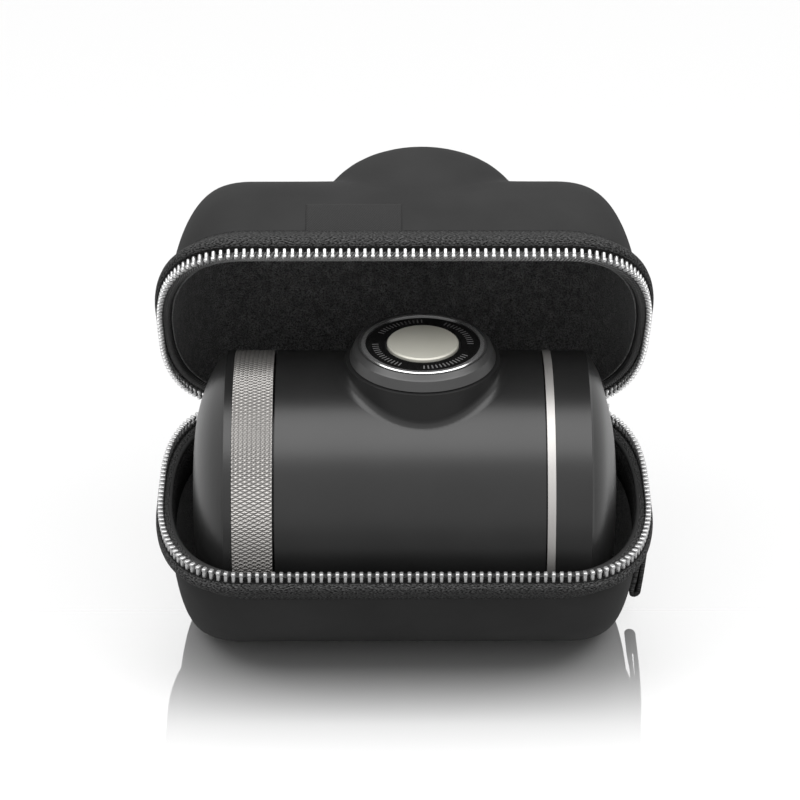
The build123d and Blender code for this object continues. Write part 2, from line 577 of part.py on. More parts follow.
CAP_SEAL_X = (CAP_SPIGOT_END - 2.5 * CAP_SEAL, CAP_SPIGOT_END - 1.5 * CAP_SEAL)
CAP_INNER_R = CAP_SPIGOT_R - CAP_SPIGOT_WALL
with BuildPart() as protective_cap:
    dome(-1, CAP_DOME, CAP_DOME_EDGE, BODY_R, CAP_EDGE)
    ring_x((CAP_EDGE, CAP_SPIGOT_END), (0, CAP_SPIGOT_R))
    dome_hollow(-1, CAP_DOME, CAP_SPIGOT_END, CAP_INNER_R)
    ring_x(CAP_SEAL_X, (CAP_SPIGOT_R - CAP_SEAL, CAP_SPIGOT_R), Mode.SUBTRACT)
save(protective_cap.part, "protective_cap")

with BuildPart() as cap_seal:
    ring_x((CAP_SEAL_X[0] + RUN, CAP_SEAL_X[1] - RUN), (CAP_SPIGOT_R - CAP_SEAL + RUN, CAP_SPIGOT_R))
save(cap_seal.part, "cap_seal")

# ---- maker: tank lid --------------------------------------------------------------------
with BuildPart() as tank_lid:
    dome(1, TANK_DOME, TANK_DOME_EDGE, TANK_LID_R, LID_EDGE)
    dome_hollow(1, TANK_DOME, LID_SHOULDER, TANK_NECK_R - TANK_GASKET_WALL)
    ring_x((LID_EDGE, LID_SHOULDER), (0, TANK_NECK_R + TURN), Mode.SUBTRACT)
    ring_x((LID_SHOULDER, HALF_LENGTH), (0, VENT_STEM_R), Mode.SUBTRACT)
save(tank_lid.part, "tank_lid")

with BuildPart() as tank_gasket:
    ring_x((NECK_MOUTH + RUN, LID_SHOULDER - RUN), (TANK_NECK_R - TANK_GASKET_WALL, TANK_NECK_R))
save(tank_gasket.part, "tank_gasket")

VENT_SEAT = HALF_LENGTH - END_WALL
with BuildPart() as vent_valve:
    ring_x((VENT_SEAT, HALF_LENGTH - TURN), (0, VENT_STEM_R - RUN))
    ring_x((VENT_SEAT - VENT_HEAD[1], VENT_SEAT), (0, VENT_HEAD[0]))
save(vent_valve.part, "vent_valve")

# ---- case: base -------------------------------------------------------------------------
LINING_OUTER = SHELL + GLUE
LINING_INNER = SHELL + GLUE + LINING
CHAIN_LINE = ((TOOTH_HALF, TOOTH_HALF), (-TOOTH_HALF, -TOOTH_HALF))
TAPE_LINE = ((TAPE_OUT, TAPE_OUT), (GLUE - BAND_X, GLUE - BAND_Y))

with BuildPart() as base_shell:
    tub(0, BASE_DEPTH, BASE_SPINE, BASE_POWER, -1, FOOT_HALF, FOOT - RIM_GAP)
    tub(SHELL, BASE_DEPTH, BASE_SPINE, BASE_POWER, -1, CREST_HALF, -RIM_GAP, Mode.SUBTRACT)
save(base_shell.part, "base_shell")

with BuildPart() as base_lining:
    tub(LINING_OUTER, BASE_DEPTH, BASE_SPINE, BASE_POWER, -1, CREST_HALF, -RIM_GAP)
    tub(LINING_INNER, BASE_DEPTH, BASE_SPINE, BASE_POWER, -1, CREST_HALF, -RIM_GAP, Mode.SUBTRACT)
save(base_lining.part, "base_lining")

with BuildPart() as base_tape:
    outline_ring(*TAPE_LINE, (RIM_Z - TOOTH_HEIGHT - TAPE_DEPTH, RIM_Z - TOOTH_HEIGHT))
save(base_tape.part, "base_tape")

with BuildPart() as base_teeth:
    outline_ring(*CHAIN_LINE, (RIM_Z - TOOTH_HEIGHT, RIM_Z - RIM_GAP))
save(base_teeth.part, "base_teeth")

LEAF_Y = HINGE_Y - RIM_GAP - LEAF_THICKNESS / 2
with BuildPart() as base_hinge_leaf:
    with Locations((0, LEAF_Y, HINGE_Z - RIM_GAP - LEAF_DROP / 2)):
        Box(2 * LEAF_HALF, LEAF_THICKNESS, LEAF_DROP)
save(base_hinge_leaf.part, "base_hinge_leaf")

LOOP_TOP = RIM_Z - TOOTH_HEIGHT - TAPE_DEPTH - SEAM
LOOP_X = CHAIN_X + TAPE_OUT - LOOP_THICKNESS / 2
with BuildPart() as carry_loop:
    with BuildSketch(Plane.XZ.offset(-LOOP_WIDTH / 2)):
        with Locations((LOOP_X, LOOP_TOP - LOOP_LENGTH / 2)):
            RectangleRounded(LOOP_THICKNESS, LOOP_LENGTH, LOOP_THICKNESS / 2 - GLUE)
            slot_width = LOOP_THICKNESS - 2 * LOOP_STRAP
            RectangleRounded(slot_width, LOOP_LENGTH - 2 * LOOP_STRAP, slot_width / 2 - GLUE,
                             mode=Mode.SUBTRACT)
    extrude(amount=LOOP_WIDTH)
save(carry_loop.part, "carry_loop")

# ---- case: lid, modelled closed and then opened -----------------------------------------
with BuildPart() as lid_shell:
    tub(0, LID_HEIGHT, LID_SPINE, LID_POWER, 1, CREST_HALF, 0)
    bulge(0)
    tub(SHELL, LID_HEIGHT, LID_SPINE, LID_POWER, 1, CREST_HALF, 0, Mode.SUBTRACT)
    bulge(SHELL, Mode.SUBTRACT)
save(opened(lid_shell.part), "lid_shell")

with BuildPart() as lid_lining:
    tub(LINING_OUTER, LID_HEIGHT, LID_SPINE, LID_POWER, 1, CREST_HALF, 0)
    bulge(LINING_OUTER)
    tub(LINING_INNER, LID_HEIGHT, LID_SPINE, LID_POWER, 1, CREST_HALF, 0, Mode.SUBTRACT)
    bulge(LINING_INNER, Mode.SUBTRACT)
save(opened(lid_lining.part), "lid_lining")

with BuildPart() as lid_tape:
    outline_ring(*TAPE_LINE, (RIM_Z + TOOTH_HEIGHT, RIM_Z + TOOTH_HEIGHT + TAPE_DEPTH))
save(opened(lid_tape.part), "lid_tape")

with BuildPart() as lid_teeth:
    outline_ring(*CHAIN_LINE, (RIM_Z + RIM_GAP, RIM_Z + TOOTH_HEIGHT))
save(opened(lid_teeth.part), "lid_teeth")

with BuildPart() as lid_hinge_leaf:
    with Locations((0, LEAF_Y, HINGE_Z + RIM_GAP + LEAF_DROP / 2)):
        Box(2 * LEAF_HALF, LEAF_THICKNESS, LEAF_DROP)
save(opened(lid_hinge_leaf.part), "lid_hinge_leaf")

with BuildPart() as label_patch:
    tub(-GLUE - PATCH_THICKNESS, LID_HEIGHT, LID_SPINE, LID_POWER, 1, CREST_HALF, 0)
    tub(-GLUE, LID_HEIGHT, LID_SPINE, LID_POWER, 1, CREST_HALF, 0, Mode.SUBTRACT)
    patch_middle = ((PATCH_X[0] + PATCH_X[1]) / 2, -SHELL_Y, AXIS_Z + (PATCH_Z[0] + PATCH_Z[1]) / 2)
    with Locations(patch_middle):
        Box(PATCH_X[1] - PATCH_X[0], SHELL_Y, PATCH_Z[1] - PATCH_Z[0], mode=Mode.INTERSECT)
save(opened(label_patch.part), "label_patch")

# ---- case: zip slider and its pull ------------------------------------------------------
tooth_x, tooth_y = CHAIN_X + TOOTH_HALF, CHAIN_Y + TOOTH_HALF
corner = Bezier((tooth_x, tooth_y - CORNER_Y),
                (tooth_x, tooth_y - CORNER_Y + CORNER_FULL * CORNER_Y),
                (tooth_x - CORNER_X + CORNER_FULL * CORNER_X, tooth_y),
                (tooth_x - CORNER_X, tooth_y))
spot = corner @ SLIDER_AT
# local x runs along the chain towards the front, local y points out of the case
AT_CHAIN = Plane((spot.X, spot.Y, RIM_Z - SLIDER_DROP), x_dir=-(corner % SLIDER_AT), z_dir=(0, 0, 1))
PLATE_OUT = SEAM + SLIDER[1]
EYE_OUT = PLATE_OUT + (ARCH[1] - ARCH_WALL) / 2
EYE_HALF = ARCH[2] / 2 - ARCH_WALL


def slider_block(along, out, up, mode=Mode.ADD):
    """Box at the zip slider from out[0] to out[1] and up[0] to up[1], centred along the chain."""
    with BuildSketch(AT_CHAIN.offset(up[0])) as profile:
        with Locations((0, (out[0] + out[1]) / 2)):
            Rectangle(along, out[1] - out[0])
    extrude(profile.sketch, amount=up[1] - up[0], mode=mode)


with BuildPart() as zip_slider:
    slider_block(SLIDER[0], (SEAM, PLATE_OUT), (-SLIDER[2] / 2, SLIDER[2] / 2))
    fillet(zip_slider.edges().filter_by(Axis.Z), SEAM)
    slider_block(ARCH[0], (PLATE_OUT, PLATE_OUT + ARCH[1]), (-ARCH[2] / 2, ARCH[2] / 2))
    slider_block(ARCH[0], (PLATE_OUT, PLATE_OUT + ARCH[1] - ARCH_WALL), (-EYE_HALF, EYE_HALF),
                 Mode.SUBTRACT)
save(zip_slider.part, "zip_slider")

PULL_TOP = EYE_HALF - TURN
PULL_Y = (EYE_OUT - PULL[1] / 2, EYE_OUT + PULL[1] / 2)
with BuildPart() as zip_pull:
    slider_block(PULL[0], PULL_Y, (PULL_TOP - PULL[2], PULL_TOP))
    eye = (PULL_TOP - PULL_BAR - PULL_EYE[1], PULL_TOP - PULL_BAR)
    slider_block(PULL_EYE[0], PULL_Y, eye, Mode.SUBTRACT)
save(zip_pull.part, "zip_pull")

pivot = AT_CHAIN.from_local_coords((0, EYE_OUT, PULL_TOP - PULL_BAR / 2))
print("axis height", AXIS_Z, "hinge", HINGE_Y, HINGE_Z, "slider", spot, "along", AT_CHAIN.x_dir,
      "out", AT_CHAIN.y_dir, "pull pivot", pivot)
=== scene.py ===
from math import atan2, cos, hypot, pi, radians, sin, tau

import bmesh
import bpy
from mathutils import Matrix, Vector, noise


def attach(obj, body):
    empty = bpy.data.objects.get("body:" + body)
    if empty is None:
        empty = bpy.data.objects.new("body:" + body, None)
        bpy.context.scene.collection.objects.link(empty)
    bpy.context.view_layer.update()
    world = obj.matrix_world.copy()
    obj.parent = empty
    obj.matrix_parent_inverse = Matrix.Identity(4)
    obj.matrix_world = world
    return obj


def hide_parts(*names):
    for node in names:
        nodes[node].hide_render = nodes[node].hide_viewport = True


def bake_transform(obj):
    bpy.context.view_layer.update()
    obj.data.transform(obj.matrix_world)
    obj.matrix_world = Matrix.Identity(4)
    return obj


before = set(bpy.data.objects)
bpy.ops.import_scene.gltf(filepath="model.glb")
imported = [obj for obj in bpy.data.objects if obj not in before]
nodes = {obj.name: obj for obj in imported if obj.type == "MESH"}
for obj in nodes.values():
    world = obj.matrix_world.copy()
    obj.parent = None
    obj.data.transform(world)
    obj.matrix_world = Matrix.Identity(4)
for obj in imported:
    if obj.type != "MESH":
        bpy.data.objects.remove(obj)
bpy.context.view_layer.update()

# Lengths below are in millimetres; each mesh is scaled to metres when it is finished.
MM = 0.001

# ---- sizes shared with the solids ----
AXIS_Z = 37.4          # the maker's axis above the floor
RIM_Z = 38.3           # closing plane of the case
RIM_GAP = 0.05         # the profile of each half starts this far from it
CHAIN = (62.0, 43.0)   # half length and half depth of the tooth line
BAND = (2.4, 2.9)      # how far the tooth line stands out from the shell
CORNER = (22.5, 38.0)  # extent of the rounded corners
CORNER_FULL = 0.652    # handle length of the corner curves
CORNER_TIGHTEN = 0.8   # share of its length that a corner loses away from the rim
SHELL = 0.9            # thickness of the shells
GLUE = 0.05            # gap between a shell and its lining
LINING = 0.45          # thickness of the linings
HINGE = Vector((0, 42.35, 39.86))      # the lid turns about this line
LID_OPEN = radians(55.2)       # at rest
PUMP_X = 4.5           # the pump's axis, along the maker
# side of the closing plane, depth, half length of the line farthest from it, power of the section
BASE = (-1, 38.0, 50.5, 2.0)
LID = (1, 38.1, 43.5, 1.9)
FOOT_PRESS = 0.45      # how far the base's underside would reach below the floor
# the lid's dome over the knob: radius, foot above the maker's axis, height from there, power
BULGE_R, BULGE_LOW, BULGE_HEIGHT, BULGE_POWER = 27.0, 24.0, 23.0, 3.0
BULGE_ABOVE = 1.0      # points nearer to the closing plane than this stay where they are
BULGE_BLEND = 0.03     # softness of the line where the dome meets the lid
BULGE_REACH, BULGE_HALVINGS = 4.0, 22  # search for the dome's surface along a ray

# ---- trim and cloth, which the scene alone has ----
SHELL_TRIM = 0.95      # the shells stop this far short of the closing plane, under the tapes
LINING_TRIM = {BASE: 4.6, LID: 1.0}    # and the linings this far
LINING_LOFT = 0.15     # the fleece stands this far off the shell before it is brushed
BRUSH = (0.22, 0.12)   # noise scale of the brushed pile, and how far it is pressed at most
# across the zip tape, as its UV map counts
GROOVE = (9.65, 1.15)  # middle and half width of the groove that the teeth stand in
INNER_BAND = 10.4      # start of the band inside the teeth
BAND_BLEND = 0.4
BAND_PAINTED_SHADE = (12.0, 15.9)      # the band's painted light fades to painted shade deeper in over this stretch
PLAIN_WEAVE = 100.0    # shift that keeps a plain strip clear of the groove's painted shade and the band's painted light and shade

# ---- mesh density ----
LONG_STEPS, CORNER_STEPS, SHORT_STEPS = 34, 30, 3
QUARTER = LONG_STEPS + CORNER_STEPS + SHORT_STEPS
STATIONS = 4 * QUARTER
LEVELS = 34


# ======================================================================== mesh helpers
def finish_piece(bm, name, body, material, replaces=(), smooth=True):
    """Scales a bmesh to metres, makes the object, and ties it to its body and CAD nodes."""
    bmesh.ops.scale(bm, vec=(MM, MM, MM), verts=bm.verts)
    for face in bm.faces:
        face.smooth = smooth
    mesh = bpy.data.meshes.new(name)
    bm.to_mesh(mesh)
    bm.free()
    mesh.materials.append(material)
    piece = bpy.data.objects.new(name, mesh)
    bpy.context.scene.collection.objects.link(piece)
    if body:
        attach(piece, body)
    if replaces:
        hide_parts(*replaces)
    return piece


def open_lid(bm):
    """Turns lid geometry from closed to its open rest pose."""
    bmesh.ops.rotate(bm, cent=HINGE, matrix=Matrix.Rotation(-LID_OPEN, 3, "X"), verts=bm.verts)


def close_up(bm):
    """Joins the first ring to the last and the crests to themselves, and turns faces outwards."""
    bmesh.ops.remove_doubles(bm, verts=bm.verts, dist=0.002)
    bmesh.ops.recalc_face_normals(bm, faces=bm.faces)


def outline_point(station, half_x, half_y, corner_x, corner_y):
    """Point of the case's rounded outline, counted round from the middle of the front."""
    quarter, along = divmod(station % STATIONS, QUARTER)
    if quarter % 2:
        along = QUARTER - along
    flat_x, flat_y = half_x - corner_x, half_y - corner_y
    if along <= LONG_STEPS:
        x, y = flat_x * along / LONG_STEPS, half_y
    elif along <= LONG_STEPS + CORNER_STEPS:
        t = (along - LONG_STEPS) / CORNER_STEPS
        weights = ((1 - t) ** 3, 3 * t * (1 - t) ** 2, 3 * t * t * (1 - t), t**3)
        xs = (flat_x, flat_x + CORNER_FULL * corner_x, half_x, half_x)
        ys = (half_y, half_y, flat_y + CORNER_FULL * corner_y, flat_y)
        x = sum(w * v for w, v in zip(weights, xs))
        y = sum(w * v for w, v in zip(weights, ys))
    else:
        x, y = half_x, flat_y * (1 - (along - LONG_STEPS - CORNER_STEPS) / SHORT_STEPS)
    return (x if quarter < 2 else -x), (y if quarter in (1, 2) else -y)


CHAIN_FORM = (*CHAIN, *CORNER)


def chain_walk():
    """Distance along the tooth line at every station, with the full length at the end."""
    walked, last = [0.0], outline_point(0, *CHAIN_FORM)
    for station in range(1, STATIONS + 1):
        here = outline_point(station, *CHAIN_FORM)
        walked.append(walked[-1] + hypot(here[0] - last[0], here[1] - last[1]))
        last = here
    return walked


CHAIN_AT = chain_walk()


def sweep_round(rings):
    """Skins rings (half_x, half_y, corner_x, corner_y, z) round the case, with a UV map in mm."""
    bm = bmesh.new()
    station = bm.verts.layers.int.new("station")
    across = bm.verts.layers.float.new("across")
    bmesh.ops.create_circle(bm, segments=STATIONS, radius=1)
    for vert in bm.verts:
        turn = (atan2(vert.co.y, vert.co.x) + pi / 2) / tau
        vert[station] = round(turn * STATIONS) % STATIONS
    edges, loop, walked, last = bm.edges[:], bm.verts[:], 0.0, None
    for number, (half_x, half_y, corner_x, corner_y, z) in enumerate(rings):
        if number:
            made = bmesh.ops.extrude_edge_only(bm, edges=edges)["geom"]
            loop = [item for item in made if isinstance(item, bmesh.types.BMVert)]
            fresh = set(loop)
            edges = [item for item in made if isinstance(item, bmesh.types.BMEdge)
                     and item.verts[0] in fresh and item.verts[1] in fresh]
        here = (half_y, z)
        walked += hypot(here[0] - last[0], here[1] - last[1]) if last else 0
        last = here
        for vert in loop:
            vert.co.xy = outline_point(vert[station], half_x, half_y, corner_x, corner_y)
            vert.co.z = z
            vert[across] = walked
    uv = bm.loops.layers.uv.new("UVMap")
    for face in bm.faces:
        places = [vert[station] for vert in face.verts]
        wraps = max(places) - min(places) > STATIONS / 2
        for corner in face.loops:
            place = corner.vert[station]
            if wraps and place < STATIONS / 2:
                place += STATIONS
            corner[uv].uv = (CHAIN_AT[place], corner.vert[across])
    return bm


def tub_ring(half, inset, angle, press, trim):
    """One ring of a case half, angle 0 at the rim and 90 at the lowest or highest line."""
    side, depth, spine, power = half
    share = max(cos(radians(angle)), 0) ** (2 / power)
    down = (depth - inset + press) * sin(radians(angle)) ** (2 / power)
    half_x, half_y = CHAIN[0] - BAND[0] - inset, CHAIN[1] - BAND[1] - inset
    corner_x = CORNER[0] * (1 - CORNER_TIGHTEN * (1 - share))
    z = RIM_Z + side * max(RIM_GAP + down, trim)
    return (spine + (half_x - spine) * share, half_y * share, corner_x, CORNER[1] * share,
            max(z, 0.0))


def over_knob(point, inset):
    """Pushes a point of the lid out to the dome that stands over the knob."""
    centre = Vector((PUMP_X, 0, RIM_Z))
    ray = point - centre
    low, radius, height = AXIS_Z + BULGE_LOW, BULGE_R - inset, BULGE_HEIGHT - inset
    inside, outside = 0.0, BULGE_REACH
    for _ in range(BULGE_HALVINGS):
        middle = (inside + outside) / 2
        spot = centre + ray * middle
        flat = hypot(spot.x - PUMP_X, spot.y) / radius
        up = max(spot.z - low, 0) / height
        if flat**BULGE_POWER + up**BULGE_POWER < 1:
            inside = middle
        else:
            outside = middle
    blend = hypot(1 - inside, BULGE_BLEND)
    return centre + ray * ((1 + inside + blend) / 2)


def case_half(half, outer, inner, press=0.0, trim=SHELL_TRIM):
    """Closed wall of a case half between two insets, from the inside crest to the outside crest."""
    angles = [90 * step / LEVELS for step in range(LEVELS + 1)]
    rings = [tub_ring(half, inner, angle, 0, trim) for angle in reversed(angles)]
    rings += [tub_ring(half, outer, angle, press, trim) for angle in angles]
    bm = sweep_round(rings)
    bm.verts.ensure_lookup_table()
    if half is LID:
        for number, vert in enumerate(bm.verts):
            if vert.co.z > RIM_Z + BULGE_ABOVE:
                vert.co = over_knob(vert.co, inner if number < STATIONS * (LEVELS + 1) else outer)
    close_up(bm)
    return bm


# ======================================================================== node helpers
def new_group(name, inputs, outputs):
    group = bpy.data.node_groups.new(name, "ShaderNodeTree")
    for label, kind, value in inputs:
        socket = group.interface.new_socket(label, in_out="INPUT", socket_type=kind)
        if value is not None:
            socket.default_value = value
    for label in outputs:
        group.interface.new_socket(label, in_out="OUTPUT", socket_type="NodeSocketFloat")
    return group, group.nodes.new("NodeGroupInput"), group.nodes.new("NodeGroupOutput")


def connect(tree, value, socket):
    """Links a socket, or sets a plain number or colour."""
    if isinstance(value, bpy.types.NodeSocket):
        tree.links.new(value, socket)
    else:
        socket.default_value = value


def maths(tree, operation, *values):
    node = tree.nodes.new("ShaderNodeMath")
    node.operation = operation
    for value, socket in zip(values, node.inputs):
        connect(tree, value, socket)
    return node.outputs[0]


def noise_field(tree, vector, scale, detail, rough=0.5):
    node = tree.nodes.new("ShaderNodeTexNoise")
    node.inputs["Detail"].default_value = detail
    node.inputs["Roughness"].default_value = rough
    connect(tree, vector, node.inputs["Vector"])
    connect(tree, scale, node.inputs["Scale"])
    return node.outputs["Fac"]


def parts_of(tree, vector):
    """The three coordinates of a vector socket."""
    node = tree.nodes.new("ShaderNodeSeparateXYZ")
    tree.links.new(vector, node.inputs[0])
    return node.outputs


def spread(tree, value, low, high, low_out=0.0, high_out=1.0, smooth=False):
    """Maps the range low to high on the range low_out to high_out, and stops at its ends."""
    node = tree.nodes.new("ShaderNodeMapRange")
    if smooth:
        node.interpolation_type = "SMOOTHSTEP"
    for given, label in zip((value, low, high, low_out, high_out),
                            ("Value", "From Min", "From Max", "To Min", "To Max")):
        connect(tree, given, node.inputs[label])
    return node.outputs["Result"]


def make_grain_group():
    """Fine surface grain with slow patches: Patch and Grain are about 0 to 1, Height for bump."""
    group, given, out = new_group("Fine grain", [
        ("Vector", "NodeSocketVector", None), ("Grain per metre", "NodeSocketFloat", 2500.0),
        ("Patches per metre", "NodeSocketFloat", 60.0)], ["Patch", "Grain", "Height"])
    patch = noise_field(group, given.outputs["Vector"], given.outputs["Patches per metre"], 3.0)
    grain = noise_field(group, given.outputs["Vector"], given.outputs["Grain per metre"], 2.0)
    group.links.new(spread(group, patch, 0.3, 0.7), out.inputs["Patch"])
    group.links.new(spread(group, grain, 0.3, 0.7), out.inputs["Grain"])
    group.links.new(grain, out.inputs["Height"])
    return group


def make_weave_group():
    """Twill threads from a UV map in millimetres: Height of the threads, and a shade per thread."""
    group, given, out = new_group("Twill weave", [
        ("Vector", "NodeSocketVector", None), ("Thread", "NodeSocketFloat", 0.5),
        ("Wander", "NodeSocketFloat", 0.1)], ["Height", "Shade"])
    split = parts_of(group, given.outputs["Vector"])
    wander = maths(group, "MULTIPLY", noise_field(group, given.outputs["Vector"], 0.8, 2.0),
                   given.outputs["Wander"])
    along = maths(group, "DIVIDE", maths(group, "ADD", split[0], wander),
                  given.outputs["Thread"])
    over = maths(group, "DIVIDE", maths(group, "ADD", split[1], wander),
                 given.outputs["Thread"])
    rib = maths(group, "ABSOLUTE", maths(group, "SINE", maths(
        group, "MULTIPLY", maths(group, "ADD", along, over), pi / 2)))
    thread = maths(group, "ABSOLUTE", maths(group, "SINE", maths(group, "MULTIPLY", over, pi)))
    height = maths(group, "MULTIPLY", rib, maths(group, "ADD", maths(
        group, "MULTIPLY", thread, 0.6), 0.4))
    fluff = noise_field(group, given.outputs["Vector"], 3.0, 4.0, 0.7)
    shade = maths(group, "MULTIPLY", height, spread(group, fluff, 0.3, 0.7, 0.35, 1.3))
    group.links.new(height, out.inputs["Height"])
    group.links.new(shade, out.inputs["Shade"])
    return group


GRAIN = make_grain_group()
WEAVE = make_weave_group()


class Finish:
    """A material under construction: its tree, its Principled BSDF and its coordinates."""

    def __init__(self, name, **values):
        self.material = bpy.data.materials.new(name)
        self.material.use_nodes = True
        self.tree = self.material.node_tree
        self.surface = self.tree.nodes["Principled BSDF"]
        for label, value in values.items():
            self.surface.inputs[label.replace("_", " ")].default_value = value
        self.place = self.tree.nodes.new("ShaderNodeTexCoord")

    def effect(self, group, vector, **values):
        node = self.tree.nodes.new("ShaderNodeGroup")
        node.node_tree = group
        self.tree.links.new(self.place.outputs[vector], node.inputs["Vector"])
        for label, value in values.items():
            node.inputs[label.replace("_", " ")].default_value = value
        return node.outputs

    def colour(self, factor, dark, light):
        mix = self.tree.nodes.new("ShaderNodeMix")
        mix.data_type = "RGBA"
        connect(self.tree, factor, mix.inputs["Factor"])
        mix.inputs["A"].default_value = (*dark, 1)
        mix.inputs["B"].default_value = (*light, 1)
        self.tree.links.new(mix.outputs["Result"], self.surface.inputs["Base Color"])

    def rough(self, factor, low, high):
        self.tree.links.new(spread(self.tree, factor, 0, 1, low, high),
                            self.surface.inputs["Roughness"])

    def bump(self, height, depth):
        """depth is the relief in metres."""
        node = self.tree.nodes.new("ShaderNodeBump")
        node.inputs["Distance"].default_value = depth
        self.tree.links.new(height, node.inputs["Height"])
        self.tree.links.new(node.outputs["Normal"], self.surface.inputs["Normal"])


def grey(value, warmth=0.0):
    return (value * (1 + warmth), value, value * (1 - warmth))


def grained(name, dark, light, rough, grain, relief, **values):
    """Plain finish with grain: colours between dark and light, roughness between two values."""
    finish = Finish(name, **values)
    field = finish.effect(GRAIN, "Object", Grain_per_metre=grain)
    finish.colour(field["Patch"], dark, light)
    finish.rough(field["Grain"], *rough)
    finish.bump(field["Height"], relief)
    return finish.material


# ======================================================================== finishes
body_coat = grained("Satin dark coat", grey(0.0155), grey(0.019), (0.28, 0.34), 5200, 0.000004,
                    Specular_IOR_Level=0.42)
inner_plastic = grained("Inner moulding", grey(0.016), grey(0.022), (0.4, 0.5), 3000, 0.00001)
satin_steel = grained("Satin steel", grey(0.42, 0.03), grey(0.48, 0.03), (0.42, 0.5), 6000,
                      0.000004, Metallic=0.6)
knob_metal = grained("Dark knob metal", grey(0.058), grey(0.068), (0.3, 0.38), 6000, 0.000003,
                     Metallic=0.3)
bezel_metal = grained("Polished bezel", grey(0.62), grey(0.68), (0.16, 0.22), 4000, 0.000001,
                      Metallic=0.85)
knob_silver = grained("Champagne silver", (0.56, 0.55, 0.48), (0.62, 0.61, 0.54), (0.4, 0.5),
                      7000, 0.000004, Metallic=0.2)
seal_rubber = grained("Silicone seal", grey(0.012), grey(0.018), (0.55, 0.65), 2500, 0.00001)
zip_metal = grained("Zip nickel", grey(0.54), grey(0.64), (0.26, 0.36), 3000, 0.000004,
                    Metallic=0.7)


TICK_RING = (0.0118, 0.0008)   # radius and half width in metres
TICKS, TICK_SHARE = 72, 0.34
TICK_GROUPS, GROUP_SHARE = 4, 0.72


def make_knob_gloss():
    """Gloss black with a ring of fine tick marks about the pump's axis."""
    finish = Finish("Gloss black inlay", Specular_IOR_Level=0.6, Coat_Weight=0.5,
                    Coat_Roughness=0.04)
    tree = finish.tree
    split = parts_of(tree, finish.place.outputs["Object"])
    x, y = maths(tree, "SUBTRACT", split[0], PUMP_X * MM), split[1]
    turn = maths(tree, "DIVIDE", maths(tree, "ARCTAN2", y, x), tau)
    radius = maths(tree, "POWER", maths(tree, "ADD", maths(tree, "MULTIPLY", x, x), maths(
        tree, "MULTIPLY", y, y)), 0.5)
    ring = maths(tree, "COMPARE", radius, *TICK_RING)
    tick, group = (maths(tree, "LESS_THAN", maths(tree, "FRACT", maths(
        tree, "MULTIPLY", turn, count)), share) for count, share in (
            (TICKS, TICK_SHARE), (TICK_GROUPS, GROUP_SHARE)))
    mark = maths(tree, "MULTIPLY", ring, maths(tree, "MULTIPLY", tick, group))
    finish.colour(mark, grey(0.007), grey(0.16))
    finish.rough(mark, 0.08, 0.35)
    return finish.material


def make_knurl_steel():
    finish = Finish("Knurled steel", Metallic=0.75)
    field = finish.effect(GRAIN, "Object", Grain_per_metre=5000.0)
    # light on the diamonds' crests and dark in the valleys between them: painted shade in the
    # knurl's grooves
    crest = finish.tree.nodes.new("ShaderNodeAttribute")
    crest.attribute_name = "crest"
    finish.colour(maths(finish.tree, "MULTIPLY", crest.outputs["Fac"], spread(
        finish.tree, field["Patch"], 0, 1, 0.85, 1.0)), grey(0.09, 0.04), grey(0.50, 0.035))
    finish.rough(field["Grain"], 0.36, 0.46)
    finish.bump(field["Height"], 0.000004)
    return finish.material


def make_shell_knit():
    finish = Finish("Moulded shell face", Specular_IOR_Level=0.02)
    field = finish.effect(GRAIN, "Object", Grain_per_metre=4200.0, Patches_per_metre=45.0)
    finish.colour(maths(finish.tree, "MULTIPLY", field["Patch"], spread(
        finish.tree, field["Grain"], 0, 1, 0.8, 1.0)), grey(0.036), grey(0.045))
    finish.rough(field["Grain"], 0.6, 0.75)
    finish.bump(field["Height"], 0.00004)
    return finish.material


def make_fleece():
    finish = Finish("Lining fleece", Sheen_Weight=0.25, Sheen_Roughness=0.6,
                    Specular_IOR_Level=0.1, Roughness=0.95)
    tree, place = finish.tree, finish.place.outputs["Object"]
    tuft = noise_field(tree, place, 2600.0, 2.0, 0.6)
    clump = noise_field(tree, place, 420.0, 3.0)
    pile = maths(tree, "MULTIPLY", spread(tree, tuft, 0.36, 0.66),
                 spread(tree, clump, 0.3, 0.7, 0.45, 1.1))
    finish.colour(pile, grey(0.024), grey(0.21))
    finish.bump(pile, 0.00025)
    return finish.material


# the first number is the tape's own lightness outside the teeth; the second darkens the tape in the
# groove under the teeth as painted shade
OUTER_LIGHT, GROOVE_PAINTED_SHADE = 0.095, 0.1
PAINTED_SHADE_ENDS = (0.038, 0.056)     # metres from the middle, where painted shade darkens a ribbed band towards the ends of the case
# share of the band's lightness that is left at the ends under the painted shade
END_PAINTED_SHADE = 0.3


